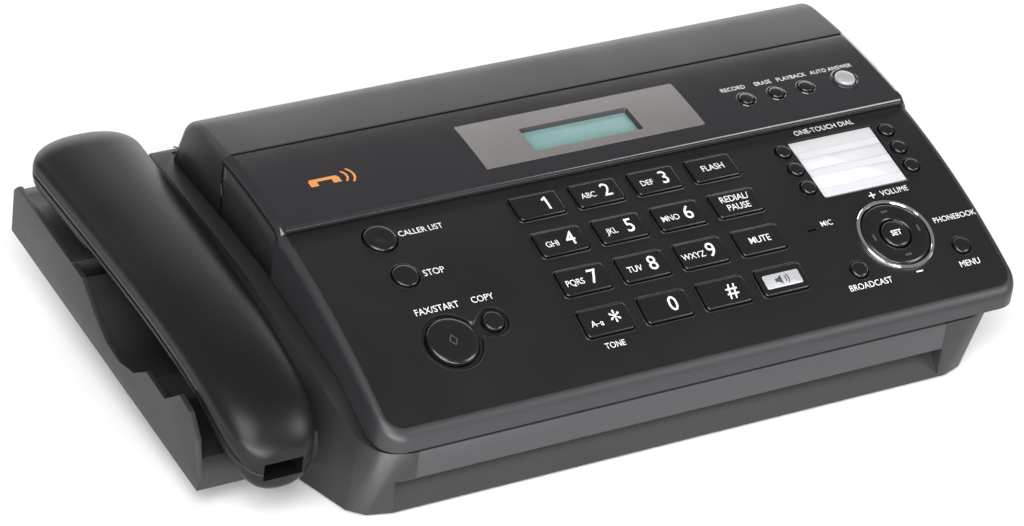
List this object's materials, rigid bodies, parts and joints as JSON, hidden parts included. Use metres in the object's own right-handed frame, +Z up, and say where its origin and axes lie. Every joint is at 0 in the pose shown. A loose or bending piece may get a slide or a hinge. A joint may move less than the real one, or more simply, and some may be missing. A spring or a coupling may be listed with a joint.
{
  "type": "fax machine",
  "caption": "Compact desktop fax machine with a side handset, sloped keypad panel, small display and a rear paper cover that hinges up.",
  "frame": {"origin": "bottom centre of the whole machine, on the table", "axes": "+X to the right along the panel's width, +Y from the front to the rear, +Z up"},
  "size_m": [0.3516, 0.2, 0.0764],
  "materials": {
    "case_black": "fine spark-textured matte black moulded plastic",
    "panel_black": "satin black moulded plastic, finer texture than the case",
    "gloss_black": "polished piano-black plastic",
    "key_black": "semi-gloss black keys with white legends",
    "silver_plastic": "fine silver paint on plastic",
    "chrome_ring": "bright plated plastic",
    "handset_black": "smooth satin black plastic",
    "display": "grey-green liquid crystal display under clear lens",
    "card_white": "white card under a clear window",
    "clear_grey": "milky translucent lamp button",
    "rubber_black": "dark moulded rubber",
    "roller_rubber": "ground roller rubber on a steel shaft",
    "paper": "wound thermal paper",
    "nylon": "moulded nylon gear",
    "steel": "zinc-plated steel",
    "board": "green circuit board with moulded components",
    "socket_plastic": "dark moulded socket body",
    "ceramic": "ceramic print head on aluminium"
  },
  "bodies": {
    "base": {"bottom_case": "case_black", "handset_cradle": "case_black", "front_fascia": "case_black", "thermal_head": "ceramic", "image_sensor": "socket_plastic", "drive_motor": "steel", "circuit_boards": "board", "modular_jacks": "socket_plastic", "power_inlet": "socket_plastic", "speaker": "steel", "rubber_feet": "rubber_black", "case_screws": "steel"},
    "cover": {"control_panel": "panel_black", "upper_panel": "gloss_black", "rear_hood": "case_black", "lcd_bezel": "silver_plastic", "panel_board": "display", "directory_card": "card_white", "nav_ring": "chrome_ring"},
    "handset": {"handset_upper": "handset_black", "handset_lower": "handset_black"},
    "hook": {"hook_switch": "socket_plastic"},
    "platen": {"platen_roller": "roller_rubber"},
    "feeder": {"feed_roller": "roller_rubber"},
    "drive": {"drive_gear": "nylon"},
    "roll": {"paper_roll": "paper"},
    "key_1": {"key_1": "key_black"},
    "key_2": {"key_2": "key_black"},
    "key_3": {"key_3": "key_black"},
    "key_flash": {"key_flash": "key_black"},
    "key_4": {"key_4": "key_black"},
    "key_5": {"key_5": "key_black"},
    "key_6": {"key_6": "key_black"},
    "key_redial": {"key_redial": "key_black"},
    "key_7": {"key_7": "key_black"},
    "key_8": {"key_8": "key_black"},
    "key_9": {"key_9": "key_black"},
    "key_mute": {"key_mute": "key_black"},
    "key_star": {"key_star": "key_black"},
    "key_0": {"key_0": "key_black"},
    "key_hash": {"key_hash": "key_black"},
    "key_speaker": {"key_speaker": "silver_plastic"},
    "one_touch_1": {"one_touch_1": "key_black"},
    "one_touch_2": {"one_touch_2": "key_black"},
    "one_touch_3": {"one_touch_3": "key_black"},
    "one_touch_4": {"one_touch_4": "key_black"},
    "one_touch_5": {"one_touch_5": "key_black"},
    "one_touch_6": {"one_touch_6": "key_black"},
    "caller_id_button": {"caller_id_button": "key_black"},
    "stop_button": {"stop_button": "key_black"},
    "start_button": {"start_button": "key_black"},
    "copy_button": {"copy_button": "key_black"},
    "menu_button": {"menu_button": "key_black"},
    "broadcast_button": {"broadcast_button": "key_black"},
    "record_button": {"record_button": "key_black"},
    "erase_button": {"erase_button": "key_black"},
    "playback_button": {"playback_button": "key_black"},
    "auto_answer_button": {"auto_answer_button": "clear_grey"},
    "set_button": {"set_button": "key_black"},
    "navigator": {"navigator_disc": "key_black"}
  },
  "joints": [
    {"name": "cover_open", "type": "hinge", "parent": "base", "child": "cover", "pos_m": [0, 0.0855, 0.049], "axis": [-1, 0, 0], "range_deg": [0, 50]},
    {"name": "handset_lift", "type": "slide", "parent": "base", "child": "handset", "axis": [0, 0, 1], "range_m": [0, 0.12]},
    {"name": "hook_travel", "type": "slide", "parent": "base", "child": "hook", "axis": [0, 0, 1], "range_m": [0, 0.0024]},
    {"name": "platen_spin", "type": "hinge", "parent": "base", "child": "platen", "pos_m": [0, -0.072, 0.017], "axis": [1, 0, 0], "continuous": true},
    {"name": "feeder_spin", "type": "hinge", "parent": "base", "child": "feeder", "pos_m": [0, -0.028, 0.025], "axis": [1, 0, 0], "continuous": true},
    {"name": "drive_spin", "type": "hinge", "parent": "base", "child": "drive", "pos_m": [0, -0.05096, 0.0263], "axis": [1, 0, 0], "continuous": true},
    {"name": "roll_spin", "type": "hinge", "parent": "base", "child": "roll", "pos_m": [0, 0.054, 0.035], "axis": [1, 0, 0], "continuous": true},
    {"name": "key_1_press", "type": "slide", "parent": "cover", "child": "key_1", "axis": [0, 0.2245, -0.9745], "range_m": [0, 0.001], "stiffness_N_per_m": 250, "springref_m": -0.0005},
    {"name": "key_2_press", "type": "slide", "parent": "cover", "child": "key_2", "axis": [0, 0.2245, -0.9745], "range_m": [0, 0.001], "stiffness_N_per_m": 250, "springref_m": -0.0005},
    {"name": "key_3_press", "type": "slide", "parent": "cover", "child": "key_3", "axis": [0, 0.2245, -0.9745], "range_m": [0, 0.001], "stiffness_N_per_m": 250, "springref_m": -0.0005},
    {"name": "key_flash_press", "type": "slide", "parent": "cover", "child": "key_flash", "axis": [0, 0.2245, -0.9745], "range_m": [0, 0.001], "stiffness_N_per_m": 250, "springref_m": -0.0005},
    {"name": "key_4_press", "type": "slide", "parent": "cover", "child": "key_4", "axis": [0, 0.2834, -0.959], "range_m": [0, 0.001], "stiffness_N_per_m": 250, "springref_m": -0.0005},
    {"name": "key_5_press", "type": "slide", "parent": "cover", "child": "key_5", "axis": [0, 0.2834, -0.959], "range_m": [0, 0.001], "stiffness_N_per_m": 250, "springref_m": -0.0005},
    {"name": "key_6_press", "type": "slide", "parent": "cover", "child": "key_6", "axis": [0, 0.2834, -0.959], "range_m": [0, 0.001], "stiffness_N_per_m": 250, "springref_m": -0.0005},
    {"name": "key_redial_press", "type": "slide", "parent": "cover", "child": "key_redial", "axis": [0, 0.2834, -0.959], "range_m": [0, 0.001], "stiffness_N_per_m": 250, "springref_m": -0.0005},
    {"name": "key_7_press", "type": "slide", "parent": "cover", "child": "key_7", "axis": [0, 0.3413, -0.94], "range_m": [0, 0.001], "stiffness_N_per_m": 250, "springref_m": -0.0005},
    {"name": "key_8_press", "type": "slide", "parent": "cover", "child": "key_8", "axis": [0, 0.3413, -0.94], "range_m": [0, 0.001], "stiffness_N_per_m": 250, "springref_m": -0.0005},
    {"name": "key_9_press", "type": "slide", "parent": "cover", "child": "key_9", "axis": [0, 0.3413, -0.94], "range_m": [0, 0.001], "stiffness_N_per_m": 250, "springref_m": -0.0005},
    {"name": "key_mute_press", "type": "slide", "parent": "cover", "child": "key_mute", "axis": [0, 0.3413, -0.94], "range_m": [0, 0.001], "stiffness_N_per_m": 250, "springref_m": -0.0005},
    {"name": "key_star_press", "type": "slide", "parent": "cover", "child": "key_star", "axis": [0, 0.3979, -0.9174], "range_m": [0, 0.001], "stiffness_N_per_m": 250, "springref_m": -0.0005},
    {"name": "key_0_press", "type": "slide", "parent": "cover", "child": "key_0", "axis": [0, 0.3979, -0.9174], "range_m": [0, 0.001], "stiffness_N_per_m": 250, "springref_m": -0.0005},
    {"name": "key_hash_press", "type": "slide", "parent": "cover", "child": "key_hash", "axis": [0, 0.3979, -0.9174], "range_m": [0, 0.001], "stiffness_N_per_m": 250, "springref_m": -0.0005},
    {"name": "key_speaker_press", "type": "slide", "parent": "cover", "child": "key_speaker", "axis": [0, 0.3979, -0.9174], "range_m": [0, 0.001], "stiffness_N_per_m": 250, "springref_m": -0.0005},
    {"name": "one_touch_1_press", "type": "slide", "parent": "cover", "child": "one_touch_1", "axis": [0, 0.222, -0.975], "range_m": [0, 0.001], "stiffness_N_per_m": 250, "springref_m": -0.0005},
    {"name": "one_touch_2_press", "type": "slide", "parent": "cover", "child": "one_touch_2", "axis": [0, 0.253, -0.9675], "range_m": [0, 0.001], "stiffness_N_per_m": 250, "springref_m": -0.0005},
    {"name": "one_touch_3_press", "type": "slide", "parent": "cover", "child": "one_touch_3", "axis": [0, 0.2837, -0.9589], "range_m": [0, 0.001], "stiffness_N_per_m": 250, "springref_m": -0.0005},
    {"name": "one_touch_4_press", "type": "slide", "parent": "cover", "child": "one_touch_4", "axis": [0, 0.222, -0.975], "range_m": [0, 0.001], "stiffness_N_per_m": 250, "springref_m": -0.0005},
    {"name": "one_touch_5_press", "type": "slide", "parent": "cover", "child": "one_touch_5", "axis": [0, 0.253, -0.9675], "range_m": [0, 0.001], "stiffness_N_per_m": 250, "springref_m": -0.0005},
    {"name": "one_touch_6_press", "type": "slide", "parent": "cover", "child": "one_touch_6", "axis": [0, 0.2837, -0.9589], "range_m": [0, 0.001], "stiffness_N_per_m": 250, "springref_m": -0.0005},
    {"name": "caller_id_button_press", "type": "slide", "parent": "cover", "child": "caller_id_button", "axis": [0, 0.2223, -0.975], "range_m": [0, 0.001], "stiffness_N_per_m": 250, "springref_m": -0.0005},
    {"name": "stop_button_press", "type": "slide", "parent": "cover", "child": "stop_button", "axis": [0, 0.2828, -0.9592], "range_m": [0, 0.001], "stiffness_N_per_m": 250, "springref_m": -0.0005},
    {"name": "start_button_press", "type": "slide", "parent": "cover", "child": "start_button", "axis": [0, 0.3803, -0.9249], "range_m": [0, 0.001], "stiffness_N_per_m": 250, "springref_m": -0.0005},
    {"name": "copy_button_press", "type": "slide", "parent": "cover", "child": "copy_button", "axis": [0, 0.3667, -0.9303], "range_m": [0, 0.001], "stiffness_N_per_m": 250, "springref_m": -0.0005},
    {"name": "menu_button_press", "type": "slide", "parent": "cover", "child": "menu_button", "axis": [0, 0.4065, -0.9137], "range_m": [0, 0.001], "stiffness_N_per_m": 250, "springref_m": -0.0005},
    {"name": "broadcast_button_press", "type": "slide", "parent": "cover", "child": "broadcast_button", "axis": [0, 0.4073, -0.9133], "range_m": [0, 0.001], "stiffness_N_per_m": 250, "springref_m": -0.0005},
    {"name": "record_button_press", "type": "slide", "parent": "cover", "child": "record_button", "axis": [0, 0.1307, -0.9914], "range_m": [0, 0.001], "stiffness_N_per_m": 250, "springref_m": -0.0005},
    {"name": "erase_button_press", "type": "slide", "parent": "cover", "child": "erase_button", "axis": [0, 0.1307, -0.9914], "range_m": [0, 0.001], "stiffness_N_per_m": 250, "springref_m": -0.0005},
    {"name": "playback_button_press", "type": "slide", "parent": "cover", "child": "playback_button", "axis": [0, 0.1307, -0.9914], "range_m": [0, 0.001], "stiffness_N_per_m": 250, "springref_m": -0.0005},
    {"name": "auto_answer_button_press", "type": "slide", "parent": "cover", "child": "auto_answer_button", "axis": [0, 0.1307, -0.9914], "range_m": [0, 0.001], "stiffness_N_per_m": 250, "springref_m": -0.0005},
    {"name": "set_button_press", "type": "slide", "parent": "cover", "child": "set_button", "axis": [0, 0.3734, -0.9277], "range_m": [0, 0.0008], "stiffness_N_per_m": 250, "springref_m": -0.0005},
    {"name": "navigator_rock", "type": "hinge", "parent": "cover", "child": "navigator", "pos_m": [0.13255, -0.06723, 0.05007], "axis": [1, 0, 0], "range_deg": [-2, 2], "stiffness_Nm_per_rad": 0.1}
  ],
  "couplings": [
    {"joint": "hook_travel", "follows": "handset_lift", "ratio": 0.02},
    {"joint": "drive_spin", "follows": "platen_spin", "ratio": -0.91667},
    {"joint": "feeder_spin", "follows": "platen_spin", "ratio": 1},
    {"joint": "roll_spin", "follows": "platen_spin", "ratio": -0.32}
  ]
}
